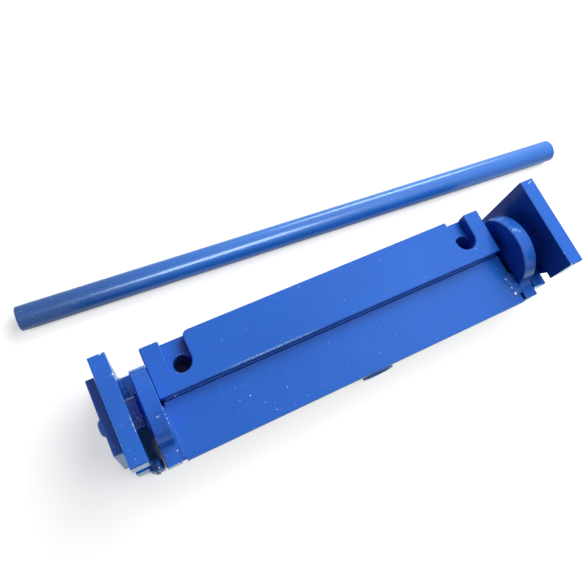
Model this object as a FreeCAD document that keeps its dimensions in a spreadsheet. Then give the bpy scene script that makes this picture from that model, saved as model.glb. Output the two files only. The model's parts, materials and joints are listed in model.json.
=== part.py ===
import FreeCAD, Part
import Sketcher
import math
import os

# Hand sheet metal bending machine, millimetres.
# Origin: middle of the bed's top face, between the two tapped holes.
# +X along the bend line to the right, +Y to the back, +Z up.
# The bend line, which is also the apron's pivot axis, is the bed's front top edge.

V = FreeCAD.Vector

# Driving sizes

SIZES = [
    # bed
    ("bed_end_gap", 1.0, "bed bar's end in from the apron plate's end"),
    ("bed_width", 40.0, "bed bar, front to back"),
    ("bed_height", 32.0, "bed bar, top face to base bar"),
    ("screw_inset", 22.0, "tapped hole in from the bed bar's end"),
    ("screw_hole_dia", 14.0, "tapping bore for the clamp screws"),
    ("screw_hole_rim", 0.5, "countersink round a tapped hole"),
    # base bar and end plates
    ("base_width", 40.0, "flat bar under the bed"),
    ("base_thickness", 10.0, "flat bar under the bed"),
    ("base_lead", 4.7, "base bar's front edge in front of the bed bar's"),
    ("end_thickness", 12.0, "end plate"),
    ("end_front", 38.0, "pivot axis to the end plate's front edge"),
    ("end_back", 40.0, "pivot axis to the end plate's back edge"),
    ("end_rise", 43.5, "end plate's top edge above the bed"),
    ("end_corner", 1.6, "rounding of the end plate's corners"),
    ("slot_running_gap", 0.05, "pin to slot wall"),
    ("cross_hole_dia", 8.0, "hole above the slot in the end plate"),
    ("cross_hole_rise", 27.3, "cross hole above the bed"),
    ("post_depth", 8.0, "keeper post, front to back"),
    ("post_gap", 0.8, "between the keeper post and the cheek"),
    ("left_post_lead", 4.0, "left keeper post's front in front of the end plate's"),
    ("left_post_drop", 9.0, "left keeper post's top below the bed's top"),
    # apron
    ("apron_length", 300.0, "apron plate along the bend line"),
    ("apron_width", 44.5, "apron plate, bend line to front edge"),
    ("apron_thickness", 10.0, "apron plate"),
    ("bend_gap", 0.5, "between the bed and the apron plate"),
    ("weld_gap", 3.0, "between the apron plate's end and the cheek"),
    # cheeks, pins and retaining plates
    ("cheek_base_gap", 2.0, "cheek disc's rim above the base bar"),
    ("cheek_thickness", 12.0, "cheek"),
    ("tab_set_back", 1.0, "cheek tab's front behind the apron's front edge"),
    ("tab_throat", 5.0, "rounding between the disc and the tab"),
    ("side_gap", 9.0, "between the cheek and the end plate"),
    ("pin_dia", 25.0, "pivot pin"),
    ("pin_chamfer", 1.0, "pivot pin's edges"),
    ("retainer_length", 62.0, "retaining plate, long side"),
    ("retainer_width", 55.0, "retaining plate, short side"),
    ("retainer_thickness", 6.0, "retaining plate"),
    ("retainer_gap", 1.0, "between the end plate and the retaining plate"),
    ("left_retainer_angle", 85.6, "how far round the left plate sits"),
    ("right_retainer_angle", 15.6, "how far round the right plate sits"),
    ("retainer_screw_dia", 8.0, "shank of the retaining screw"),
    ("retainer_screw_reach", 16.0, "screw's length inside the pin"),
    ("screw_clearance", 0.05, "retaining screw to its hole"),
    ("screw_head_dia", 14.0, "round head of the retaining screw"),
    ("screw_head_height", 4.4, "round head of the retaining screw"),
    ("screw_key", 5.0, "hexagon socket, across flats"),
    ("screw_key_depth", 2.6, "hexagon socket"),
    # handle and its socket
    ("socket_fit", 0.85, "between the handle bar and the socket's bore"),
    ("socket_wall", 2.6, "handle socket"),
    ("socket_base_gap", 3.3, "handle socket's back end in front of the base bar"),
    ("socket_place", 14.0, "handle socket, right of the middle"),
    ("socket_lead", 1.0, "handle socket's mouth in front of the apron"),
    ("handle_dia", 20.0, "handle bar"),
    ("handle_length", 508.0, "handle bar"),
    ("handle_round", 1.8, "rounding of the handle bar's ends"),
    ("handle_x", 27.4, "handle bar's middle where it lies"),
    ("handle_y", 74.8, "handle bar's middle where it lies"),
    ("handle_angle", -3.41, "direction in which the handle bar lies"),
    # clamp plate
    ("clamp_overhang", 1.5, "clamp plate's end beyond the bed bar's end"),
    ("clamp_width", 40.0, "clamp plate"),
    ("clamp_thickness", 10.0, "clamp plate"),
    ("clamp_set_back", 1.0, "clamp plate's front edge behind the bend line"),
    ("clamp_shift", -2.0, "clamp plate along the bed"),
    ("clamp_slot_room", 2.0, "slot's side beyond the tapped hole"),
    ("clamp_slot_past", 1.0, "slot's round end, its middle behind the tapped hole's"),
    ("clamp_corner", 1.2, "clamp plate's corners"),
    ("clamp_ground_corner", 5.0, "slot corner that was ground off"),
    # common
    ("edge_round", 0.7, "broken edge of the bars and plates"),
    ("bead", 5.0, "leg of the heavy weld beads"),
    ("small_bead", 3.0, "leg of the light weld beads"),
    ("stitch_length", 46.0, "one run of the bed's stitch welds"),
    ("stitch_inset", 9.0, "last stitch weld in from the bed bar's end"),
    ("keeper_bead", 3.2, "leg of the upright beads on the keeper posts"),
    ("keeper_bead_drop", 2.0, "upright beads' top below the pin slot"),
    ("heavy_bead", 6.5, "leg of the short heavy bead at the apron's right end"),
    ("heavy_bead_rise", 0.8, "heavy bead above the apron plate"),
    ("heavy_bead_start", 17.0, "heavy bead's back end in front of the pivot axis"),
    ("heavy_bead_length", 20.5, "heavy bead along the apron's right end"),
]

doc = FreeCAD.newDocument("sheet_metal_bending_machine")
sheet = doc.addObject("Spreadsheet::Sheet", "Sheet")
for row, (alias, value, meaning) in enumerate(SIZES, start=1):
    sheet.set("A%d" % row, alias)
    sheet.set("B%d" % row, str(value))
    sheet.set("C%d" % row, meaning)
    sheet.setAlias("B%d" % row, alias)
doc.recompute()

# Places that several pieces share, as expressions on the sheet

PIVOT_Y = "(-Sheet.bed_width / 2)"
BED_END = "(Sheet.apron_length / 2 - Sheet.bed_end_gap)"
SCREW_X = "(%s - Sheet.screw_inset)" % BED_END
CLAMP_END = "(%s + Sheet.clamp_overhang)" % BED_END
CHEEK_IN = "(Sheet.apron_length / 2 + Sheet.weld_gap)"
CHEEK_OUT = "(Sheet.apron_length / 2 + Sheet.weld_gap + Sheet.cheek_thickness)"
END_IN = "(%s + Sheet.side_gap)" % CHEEK_OUT
END_OUT = "(%s + Sheet.end_thickness)" % END_IN
END_FRONT = "(%s - Sheet.end_front)" % PIVOT_Y
RETAINER_IN = "(%s + Sheet.retainer_gap)" % END_OUT
RETAINER_OUT = "(%s + Sheet.retainer_thickness)" % RETAINER_IN
FLOOR = "(Sheet.bed_height + Sheet.base_thickness)"
BASE_FRONT = "(%s - Sheet.base_lead)" % PIVOT_Y
BASE_BACK = "(%s + Sheet.base_width)" % BASE_FRONT
CHEEK_RADIUS = "(Sheet.bed_height - Sheet.cheek_base_gap)"
POST_WIDTH = "(Sheet.side_gap - Sheet.post_gap)"
STITCH_PITCH = "((%s - Sheet.stitch_inset - Sheet.stitch_length / 2) / 1.5)" % BED_END
APRON_BACK = "(%s - Sheet.bend_gap)" % PIVOT_Y
APRON_FRONT = "(%s - Sheet.apron_width)" % APRON_BACK
SLOT_RADIUS = "(Sheet.pin_dia / 2 + Sheet.slot_running_gap)"
CLAMP_SLOT_WIDTH = "(Sheet.screw_hole_dia + 2 * Sheet.clamp_slot_room)"
SOCKET_BORE = "(Sheet.handle_dia + 2 * Sheet.socket_fit)"
SOCKET_DIA = "(%s + 2 * Sheet.socket_wall)" % SOCKET_BORE
SOCKET_Z = "(-Sheet.apron_thickness - %s / 2)" % SOCKET_DIA
SOCKET_MOUTH = "(%s - Sheet.socket_lead)" % APRON_FRONT
SOCKET_LENGTH = "(%s - Sheet.socket_base_gap - %s)" % (BASE_FRONT, SOCKET_MOUTH)

parts = []


def number(expression):
    """The present value of an expression on the sheet."""
    value = doc.Sheet.evalExpression(expression.replace("Sheet.", ""))
    return float(getattr(value, "Value", value))


def keep(shape_object, label):
    """Name a finished piece and list it for writing."""
    shape_object.Label = label
    parts.append(shape_object)
    return shape_object


def new_body(name):
    return doc.addObject("PartDesign::Body", name)


def place(thing, x="0", y="0", z="0"):
    """Bind the position of a piece to the sheet."""
    for axis, expression in zip("xyz", (x, y, z)):
        thing.setExpression("Placement.Base." + axis, expression)


def sketch_on(body, role, name, offset="0"):
    """A sketch on one of the body's own origin planes, lifted along its normal."""
    sketch = body.newObject("Sketcher::SketchObject", name)
    plane = [f for f in body.Origin.OriginFeatures if f.Role == role][0]
    sketch.AttachmentSupport = [(plane, "")]
    sketch.MapMode = "FlatFace"
    sketch.setExpression("AttachmentOffset.Base.z", offset)
    return sketch


def tie(sketch, kind, geometry, point, expression):
    """Hold one coordinate of a sketch point at an expression."""
    at = sketch.addConstraint(
        Sketcher.Constraint(kind, -1, 1, geometry, point, number(expression)))
    sketch.setExpression("Constraints[%d]" % at, expression)


def polygon(sketch, corners):
    """A closed outline of straight edges through corners given as expressions."""
    points = [V(number(x), number(y), 0) for x, y in corners]
    count = len(points)
    first = sketch.GeometryCount
    for i in range(count):
        sketch.addGeometry(Part.LineSegment(points[i], points[(i + 1) % count]), False)
    for i in range(count):
        after = first + (i + 1) % count
        sketch.addConstraint(Sketcher.Constraint("Coincident", first + i, 2, after, 1))
    for i, (x, y) in enumerate(corners):
        tie(sketch, "DistanceX", first + i, 1, x)
        tie(sketch, "DistanceY", first + i, 1, y)


def rectangle(sketch, low_x, high_x, low_y, high_y):
    polygon(sketch, [(low_x, low_y), (high_x, low_y), (high_x, high_y), (low_x, high_y)])


def circle(sketch, x, y, diameter):
    centre = V(number(x), number(y), 0)
    at = sketch.addGeometry(Part.Circle(centre, V(0, 0, 1), number(diameter) / 2), False)
    tie(sketch, "DistanceX", at, 3, x)
    tie(sketch, "DistanceY", at, 3, y)
    size = sketch.addConstraint(Sketcher.Constraint("Diameter", at, number(diameter)))
    sketch.setExpression("Constraints[%d]" % size, diameter)


def open_slot(sketch, mouth, centre_along, centre_across, radius, along_x):
    """A slot with one round end; its straight end lies at the mouth."""
    m, c, a, r = (number(e) for e in (mouth, centre_along, centre_across, radius))
    outward = 1 if m > c else -1

    def at(along, across):
        return V(along, across, 0) if along_x else V(across, along, 0)

    start = at(c, a - r)
    middle = at(c - outward * r, a)
    end = at(c, a + r)
    round_end = sketch.addGeometry(Part.Arc(start, middle, end), False)
    upper = sketch.addGeometry(Part.LineSegment(end, at(m, a + r)), False)
    closing = sketch.addGeometry(Part.LineSegment(at(m, a + r), at(m, a - r)), False)
    lower = sketch.addGeometry(Part.LineSegment(at(m, a - r), start), False)
    arc = sketch.Geometry[round_end]
    arc_low, arc_high = (1, 2)
    if arc.StartPoint.distanceToPoint(start) > arc.EndPoint.distanceToPoint(start):
        arc_low, arc_high = (2, 1)
    sketch.addConstraint(Sketcher.Constraint("Tangent", round_end, arc_high, upper, 1))
    sketch.addConstraint(Sketcher.Constraint("Coincident", upper, 2, closing, 1))
    sketch.addConstraint(Sketcher.Constraint("Coincident", closing, 2, lower, 1))
    sketch.addConstraint(Sketcher.Constraint("Tangent", lower, 2, round_end, arc_low))
    sketch.addConstraint(
        Sketcher.Constraint("Vertical" if along_x else "Horizontal", closing))
    sketch.addConstraint(
        Sketcher.Constraint("Horizontal" if along_x else "Vertical", upper))
    size = sketch.addConstraint(Sketcher.Constraint("Radius", round_end, r))
    sketch.setExpression("Constraints[%d]" % size, radius)
    tie(sketch, "DistanceX" if along_x else "DistanceY", round_end, 3, centre_along)
    tie(sketch, "DistanceY" if along_x else "DistanceX", round_end, 3, centre_across)
    tie(sketch, "DistanceX" if along_x else "DistanceY", upper, 2, mouth)


def pad(body, sketch, name, length, backwards=False):
    feature = body.newObject("PartDesign::Pad", name)
    feature.Profile = sketch
    feature.setExpression("Length", length)
    feature.Reversed = backwards
    doc.recompute()
    return feature


def cut_through(body, sketch, name):
    """A pocket through the whole piece, both ways from its sketch."""
    before = body.Shape.Volume
    feature = body.newObject("PartDesign::Pocket", name)
    feature.Profile = sketch
    feature.Type = 1
    feature.Midplane = True
    doc.recompute()
    if not body.Shape.Volume < before - 1.0:
        raise RuntimeError(name + " cuts nothing")
    return feature


def revolve(body, sketch, name, axis_role):
    feature = body.newObject("PartDesign::Revolution", name)
    feature.Profile = sketch
    axis = [f for f in body.Origin.OriginFeatures if f.Role == axis_role][0]
    feature.ReferenceAxis = (axis, [""])
    feature.Angle = 360
    doc.recompute()
    return feature


def edges_where(body, test):
    """Names of the edges whose middle and direction pass a test."""
    names = []
    for i, edge in enumerate(body.Shape.Edges, start=1):
        middle = edge.valueAt((edge.FirstParameter + edge.LastParameter) / 2)
        middle = body.Placement.inverse().multVec(middle)
        straight = isinstance(edge.Curve, Part.Line)
        run = V(0, 0, 0)
        if straight:
            run = body.Placement.Rotation.inverted().multVec(edge.Curve.Direction)
        if test(middle, run, straight):
            names.append("Edge%d" % i)
    return names


def dress_edges(body, kind, name, size_name, size, test):
    base = body.Tip
    names = edges_where(body, test)
    if not names:
        raise RuntimeError(name + " finds no edge")
    feature = body.newObject(kind, name)
    feature.Base = (base, names)
    feature.setExpression(size_name, size)
    doc.recompute()
    if "Invalid" in feature.State or feature.Shape.isNull():
        raise RuntimeError(name + " fails")
    return feature


def round_edges(body, name, radius, test):
    return dress_edges(body, "PartDesign::Fillet", name, "Radius", radius, test)


def break_edges(body, name, size, test):
    return dress_edges(body, "PartDesign::Chamfer", name, "Size", size, test)


def near(a, b):
    return abs(a - b) < 0.01


# Base bar: a flat bar that lies under the bed and joins the end plates


def make_base_bar():
    body = new_body("BaseBar")
    place(body, y=BASE_FRONT, z="-" + FLOOR)
    outline = sketch_on(body, "XY_Plane", "BaseBarOutline")
    rectangle(outline, "-" + END_IN, END_IN, "0", "Sheet.base_width")
    pad(body, outline, "BaseBarPlate", "Sheet.base_thickness")
    round_edges(body, "BaseBarEdges", "Sheet.edge_round",
                lambda m, run, straight: straight and abs(run.x) > 0.9)
    keep(body, "base_bar")


# Bed bar: carries the sheet; two tapped holes take the clamp screws


def make_bed_bar():
    body = new_body("BedBar")
    place(body, z="-Sheet.bed_height")
    outline = sketch_on(body, "XY_Plane", "BedBarOutline")
    rectangle(outline, "-" + BED_END, BED_END, "-Sheet.bed_width / 2", "Sheet.bed_width / 2")
    pad(body, outline, "BedBarBlock", "Sheet.bed_height")
    top = number("Sheet.bed_height")
    round_edges(body, "BedBarTopEdges", "Sheet.edge_round",
                lambda m, run, straight: near(m.z, top))
    bores = sketch_on(body, "XY_Plane", "ClampScrewBores", "Sheet.bed_height")
    circle(bores, "-" + SCREW_X, "0", "Sheet.screw_hole_dia")
    circle(bores, SCREW_X, "0", "Sheet.screw_hole_dia")
    cut_through(body, bores, "ClampScrewHoles")
    hole_x = number(SCREW_X)
    hole_reach = number("Sheet.screw_hole_dia / 2") + 0.5
    break_edges(body, "ClampScrewRims", "Sheet.screw_hole_rim",
                lambda m, run, straight: not straight and near(m.z, top)
                and abs(abs(m.x) - hole_x) < hole_reach)
    keep(body, "bed_bar")


# End plates: stand on the table; a slot open to the front holds the pivot pin


def make_end_plate(side):
    name = "EndPlateRight" if side > 0 else "EndPlateLeft"
    body = new_body(name)
    place(body, x=END_IN if side > 0 else "-" + END_OUT, y=PIVOT_Y)
    outline = sketch_on(body, "YZ_Plane", name + "Outline")
    rectangle(outline, "-Sheet.end_front", "Sheet.end_back", "-" + FLOOR, "Sheet.end_rise")
    pad(body, outline, name + "Blank", "Sheet.end_thickness")
    corners = [(y, z) for y in (-number("Sheet.end_front"), number("Sheet.end_back"))
               for z in (-number(FLOOR), number("Sheet.end_rise"))]
    round_edges(body, name + "Corners", "Sheet.end_corner",
                lambda m, run, straight: any(near(m.y, y) and near(m.z, z)
                                             for y, z in corners))
    slot = sketch_on(body, "YZ_Plane", name + "SlotOutline")
    open_slot(slot, "-Sheet.end_front - 1", "0", "0", SLOT_RADIUS, True)
    cut_through(body, slot, name + "Slot")
    hole = sketch_on(body, "YZ_Plane", name + "HoleOutline")
    circle(hole, "(Sheet.end_back - Sheet.end_front) / 2", "Sheet.cross_hole_rise",
           "Sheet.cross_hole_dia")
    cut_through(body, hole, name + "CrossHole")
    inner = 0 if side > 0 else number("Sheet.end_thickness")
    slot_reach = number(SLOT_RADIUS)
    break_edges(body, name + "InnerEdges", "Sheet.edge_round / 2",
                lambda m, run, straight: straight and near(m.x, inner)
                and abs(m.z) > slot_reach + 1.5 and abs(m.y) > 5)
    keep(body, "end_plate_right" if side > 0 else "end_plate_left")


# Keeper posts: stand in the side gap and stop the pin from leaving the slot


def make_keeper_post(side):
    name = "KeeperPostRight" if side > 0 else "KeeperPostLeft"
    body = new_body(name)
    x = "(%s - %s)" % (END_IN, POST_WIDTH) if side > 0 else "-" + END_IN
    lead = "0" if side > 0 else "Sheet.left_post_lead"
    drop = "0" if side > 0 else "Sheet.left_post_drop"
    place(body, x=x, y="%s - %s" % (END_FRONT, lead), z="-" + FLOOR)
    outline = sketch_on(body, "XY_Plane", name + "Outline")
    rectangle(outline, "0", POST_WIDTH, "0", "Sheet.post_depth")
    pad(body, outline, name + "Bar", "%s - %s" % (FLOOR, drop))
    free_x = 0 if side > 0 else number(POST_WIDTH)
    round_edges(body, name + "Edge", "Sheet.edge_round",
                lambda m, run, straight: near(m.x, free_x) and near(m.y, 0))
    keep(body, "keeper_post_right" if side > 0 else "keeper_post_left")


# Apron plate: the leaf that swings the sheet up


def make_apron_plate():
    body = new_body("ApronPlate")
    place(body, y=APRON_BACK, z="-Sheet.apron_thickness")
    outline = sketch_on(body, "XY_Plane", "ApronPlateOutline")
    rectangle(outline, "-Sheet.apron_length / 2", "Sheet.apron_length / 2",
              "-Sheet.apron_width", "0")
    pad(body, outline, "ApronPlateBar", "Sheet.apron_thickness")
    front = -number("Sheet.apron_width")
    round_edges(body, "ApronPlateFrontEdges", "Sheet.edge_round",
                lambda m, run, straight: near(m.y, front) and abs(run.x) > 0.9)
    top = number("Sheet.apron_thickness")
    break_edges(body, "ApronPlateBendEdge", "Sheet.edge_round / 2",
                lambda m, run, straight: near(m.y, 0) and near(m.z, top)
                and abs(run.x) > 0.9)
    keep(body, "apron_plate")


# Cheeks: a disc about the pivot axis with a tab that carries the apron's end


def make_cheek(side):
    name = "CheekRight" if side > 0 else "CheekLeft"
    body = new_body(name)
    place(body, x=CHEEK_IN if side > 0 else "-" + CHEEK_OUT, y=PIVOT_Y)
    disc = sketch_on(body, "YZ_Plane", name + "DiscOutline")
    circle(disc, "0", "0", "2 * " + CHEEK_RADIUS)
    pad(body, disc, name + "Disc", "Sheet.cheek_thickness")
    tab = sketch_on(body, "YZ_Plane", name + "TabOutline")
    reach = "-(Sheet.bend_gap + Sheet.apron_width - Sheet.tab_set_back)"
    rectangle(tab, reach, "0", "-" + CHEEK_RADIUS, "0")
    pad(body, tab, name + "Tab", "Sheet.cheek_thickness")
    radius = number(CHEEK_RADIUS)
    front = number(reach)
    round_edges(body, name + "Throat", "Sheet.tab_throat",
                lambda m, run, straight: straight and near(m.y, -radius) and near(m.z, 0))
    round_edges(body, name + "TabFoot", "2 * Sheet.tab_throat",
                lambda m, run, straight: near(m.y, front) and near(m.z, -radius))
    inner = 0 if side > 0 else number("Sheet.cheek_thickness")
    outer = number("Sheet.cheek_thickness") - inner
    break_edges(body, name + "Rims", "Sheet.edge_round",
                lambda m, run, straight: near(m.x, outer)
                or (near(m.x, inner) and m.z > 1 and not near(m.y, 0)))
    keep(body, "cheek_right" if side > 0 else "cheek_left")


# Pivot pins: turned, welded to the cheeks, with a tapped bore in the outer end


def make_pivot_pin(side):
    name = "PivotPinRight" if side > 0 else "PivotPinLeft"
    body = new_body(name)
    place(body, x=CHEEK_OUT if side > 0 else "-" + CHEEK_OUT, y=PIVOT_Y)
    if side < 0:
        body.Placement.Rotation = FreeCAD.Rotation(V(0, 0, 1), 180)
    length = "(%s - %s)" % (RETAINER_IN, CHEEK_OUT)
    radius = "Sheet.pin_dia / 2"
    bore = "(Sheet.retainer_screw_dia / 2 + Sheet.screw_clearance)"
    floor = "(%s - Sheet.retainer_screw_reach - 1)" % length
    profile = sketch_on(body, "XY_Plane", name + "Profile")
    polygon(profile, [
        ("0", "0"),
        ("0", radius),
        ("%s - Sheet.pin_chamfer" % length, radius),
        (length, "%s - Sheet.pin_chamfer" % radius),
        (length, bore),
        (floor, bore),
        ("%s - %s / 2" % (floor, bore), "0"),
    ])
    revolve(body, profile, name + "Turned", "X_Axis")
    keep(body, "pivot_pin_right" if side > 0 else "pivot_pin_left")


# Retaining plates: loose rectangular washers outside the end plates


def make_retaining_plate(side):
    name = "RetainingPlateRight" if side > 0 else "RetainingPlateLeft"
    body = new_body(name)
    place(body, x=RETAINER_IN if side > 0 else "-" + RETAINER_OUT, y=PIVOT_Y)
    angle = "Sheet.right_retainer_angle" if side > 0 else "Sheet.left_retainer_angle"
    body.Placement.Rotation = FreeCAD.Rotation(V(1, 0, 0), number(angle))
    outline = sketch_on(body, "YZ_Plane", name + "Outline")
    rectangle(outline, "-Sheet.retainer_length / 2", "Sheet.retainer_length / 2",
              "-Sheet.retainer_width / 2", "Sheet.retainer_width / 2")
    circle(outline, "0", "0", "Sheet.retainer_screw_dia + 2 * Sheet.screw_clearance")
    pad(body, outline, name + "Blank", "Sheet.retainer_thickness")
    outer = number("Sheet.retainer_thickness") if side > 0 else 0
    break_edges(body, name + "Edges", "Sheet.edge_round",
                lambda m, run, straight: straight and (near(m.x, outer) or abs(run.x) > 0.9))
    keep(body, "retaining_plate_right" if side > 0 else "retaining_plate_left")


# Retaining screws: low round head with a hexagon socket, one at each end


def make_retaining_screws():
    screws = []
    for side in (-1, 1):
        name = "RetainingScrewRight" if side > 0 else "RetainingScrewLeft"
        body = new_body(name)
        place(body, x=RETAINER_OUT if side > 0 else "-" + RETAINER_OUT, y=PIVOT_Y)
        if side < 0:
            body.Placement.Rotation = FreeCAD.Rotation(V(0, 0, 1), 180)
        reach = "-(Sheet.retainer_thickness + Sheet.retainer_screw_reach)"
        shank = "Sheet.retainer_screw_dia / 2"
        head = "Sheet.screw_head_dia / 2"
        high = "Sheet.screw_head_height"
        profile = sketch_on(body, "XY_Plane", name + "Profile")
        polygon(profile, [
            (reach, "0"),
            (reach, "%s - 0.8" % shank),
            ("%s + 0.8" % reach, shank),
            ("0", shank),
            ("0", head),
            ("0.25 * %s" % high, head),
            ("0.70 * %s" % high, "0.86 * %s" % head),
            ("0.93 * %s" % high, "0.66 * %s" % head),
            (high, "0.50 * %s" % head),
            (high, "0"),
        ])
        revolve(body, profile, name + "Turned", "X_Axis")
        key = sketch_on(body, "YZ_Plane", name + "Key", high)
        across = "Sheet.screw_key / (2 * cos(30))"
        corners = []
        for corner in range(6):
            angle = 60 * corner
            corners.append(("%s * cos(%d)" % (across, angle), "%s * sin(%d)" % (across, angle)))
        polygon(key, corners)
        before = body.Shape.Volume
        pocket = body.newObject("PartDesign::Pocket", name + "Socket")
        pocket.Profile = key
        pocket.setExpression("Length", "Sheet.screw_key_depth")
        doc.recompute()
        if not body.Shape.Volume < before - 1.0:
            raise RuntimeError("a retaining screw has no hexagon socket")
        screws.append(body)
    group = doc.addObject("Part::Compound", "RetainingScrews")
    group.Links = screws
    doc.recompute()
    keep(group, "retaining_screws")


# Handle socket: a tube under the apron, square to the bend line


def make_handle_socket():
    body = new_body("HandleSocket")
    place(body, x="Sheet.socket_place", y=SOCKET_MOUTH, z=SOCKET_Z)
    ring = sketch_on(body, "XZ_Plane", "HandleSocketRing")
    circle(ring, "0", "0", SOCKET_DIA)
    circle(ring, "0", "0", SOCKET_BORE)
    pad(body, ring, "HandleSocketTube", SOCKET_LENGTH, backwards=True)
    if body.Shape.BoundBox.YMax < number(SOCKET_MOUTH) + 1:
        body.Tip.Reversed = False
        doc.recompute()
    break_edges(body, "HandleSocketMouth", "Sheet.socket_wall / 4",
                lambda m, run, straight: not straight and near(m.y, 0))
    keep(body, "handle_socket")


# Handle bar: a plain round bar that lies loose behind the machine


def make_handle_bar():
    body = new_body("HandleBar")
    place(body, x="Sheet.handle_x", y="Sheet.handle_y",
          z="-%s + Sheet.handle_dia / 2" % FLOOR)
    body.Placement.Rotation = FreeCAD.Rotation(V(0, 0, 1), number("Sheet.handle_angle"))
    section = sketch_on(body, "YZ_Plane", "HandleBarSection", "-Sheet.handle_length / 2")
    circle(section, "0", "0", "Sheet.handle_dia")
    pad(body, section, "HandleBarRound", "Sheet.handle_length")
    round_edges(body, "HandleBarEnds", "Sheet.handle_round",
                lambda m, run, straight: not straight)
    keep(body, "handle_bar")


# Clamp plate: holds the sheet; two slots are open to its back edge


def make_clamp_plate():
    body = new_body("ClampPlate")
    place(body, x="Sheet.clamp_shift", y="%s + Sheet.clamp_set_back" % PIVOT_Y)
    outline = sketch_on(body, "XY_Plane", "ClampPlateOutline")
    rectangle(outline, "-" + CLAMP_END, CLAMP_END, "0", "Sheet.clamp_width")
    pad(body, outline, "ClampPlateBar", "Sheet.clamp_thickness")
    centre = "(Sheet.clamp_slot_past - %s - Sheet.clamp_set_back)" % PIVOT_Y
    for side, end in ((-1, "Left"), (1, "Right")):
        slot = sketch_on(body, "XY_Plane", "ClampSlotOutline" + end)
        open_slot(slot, "Sheet.clamp_width + 1", centre,
                  "%d * %s" % (side, SCREW_X),
                  CLAMP_SLOT_WIDTH + " / 2", False)
        cut_through(body, slot, "ClampSlot" + end)
    back = number("Sheet.clamp_width")
    ground_x = number("-%s + %s / 2" % (SCREW_X, CLAMP_SLOT_WIDTH))
    ground_reach = number("Sheet.clamp_ground_corner") + 0.5
    round_edges(body, "ClampPlateGroundCorner", "Sheet.clamp_ground_corner",
                lambda m, run, straight: abs(run.z) > 0.9 and near(m.y, back)
                and near(m.x, ground_x))
    round_edges(body, "ClampPlateCorners", "Sheet.clamp_corner",
                lambda m, run, straight: straight and abs(run.z) > 0.9
                and (near(m.y, back) or near(m.y, 0)) and abs(m.x - ground_x) > ground_reach)
    top = number("Sheet.clamp_thickness")
    break_edges(body, "ClampPlateTopEdges", "Sheet.edge_round",
                lambda m, run, straight: near(m.z, top))
    keep(body, "clamp_plate")


# Weld beads: each fills a corner between two pieces and touches both faces


def make_bead(body, role, name, corners, length, offset):
    """One straight bead: a triangle with a bulged face, padded along its run."""
    outline = sketch_on(body, role, name + "Outline", offset)
    (ax, ay), (bx, by), (cx, cy) = corners
    bulge = "0.62"
    middle = ("(%s) + (((%s) - (%s)) + ((%s) - (%s))) * %s" % (ax, bx, ax, cx, ax, bulge),
              "(%s) + (((%s) - (%s)) + ((%s) - (%s))) * %s" % (ay, by, ay, cy, ay, bulge))
    polygon(outline, [(ax, ay), (bx, by), middle, (cx, cy)])
    return pad(body, outline, name, length)


def make_bed_weld_beads():
    beads = []
    low = "-Sheet.bed_height"
    front = PIVOT_Y
    runs = (
        ("Front", [(front, low), ("%s - Sheet.bead" % front, low),
                   (front, "%s + Sheet.bead" % low)]),
        ("Back", [(BASE_BACK, low), ("%s + Sheet.bead" % BASE_BACK, low),
                  (BASE_BACK, "%s - Sheet.bead" % low)]),
    )
    for end, corners in runs:
        for step in range(4):
            body = new_body("BedBead%s%d" % (end, step))
            offset = "(%s - 1.5) * %s - Sheet.stitch_length / 2" % (step, STITCH_PITCH)
            make_bead(body, "YZ_Plane", "BedBeadRun%s%d" % (end, step), corners,
                      "Sheet.stitch_length", offset)
            beads.append(body)
    group = doc.addObject("Part::Compound", "BedWeldBeads")
    group.Links = beads
    doc.recompute()
    keep(group, "bed_weld_beads")


def make_keeper_weld_beads():
    """Upright quarter-round beads: outside the left post, behind the right one."""
    beads = []
    places = {-1: END_FRONT, 1: "%s + Sheet.post_depth" % END_FRONT}
    turns = {-1: 180, 1: 90}
    for side, end in ((-1, "Left"), (1, "Right")):
        bead = doc.addObject("Part::Cylinder", "KeeperBead" + end)
        bead.Angle = 90
        bead.setExpression("Radius", "Sheet.keeper_bead")
        bead.setExpression("Height", "%s - %s - Sheet.keeper_bead_drop" % (FLOOR, SLOT_RADIUS))
        bead.Placement.Rotation = FreeCAD.Rotation(V(0, 0, 1), turns[side])
        place(bead, x="%d * %s" % (side, END_IN), y=places[side], z="-" + FLOOR)
        beads.append(bead)
    group = doc.addObject("Part::Compound", "KeeperWeldBeads")
    group.Links = beads
    doc.recompute()
    keep(group, "keeper_weld_beads")


def make_end_weld_beads():
    beads = []
    low = "-Sheet.bed_height"
    length = "(%s - %s - 2 * Sheet.edge_round)" % (BASE_BACK, PIVOT_Y)
    for side, end in ((-1, "Left"), (1, "Right")):
        face = "%d * %s" % (side, END_IN)
        body = new_body("EndBead" + end)
        corners = [(face, low), ("%s - %d * Sheet.bead" % (face, side), low),
                   (face, "%s + Sheet.bead" % low)]
        run = make_bead(body, "XZ_Plane", "EndBeadRun" + end, corners, length, "0")
        run.Profile[0].setExpression("AttachmentOffset.Base.z",
                                     "-%s + Sheet.edge_round" % BASE_BACK)
        doc.recompute()
        beads.append(body)
    group = doc.addObject("Part::Compound", "EndWeldBeads")
    group.Links = beads
    doc.recompute()
    keep(group, "end_weld_beads")


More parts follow.
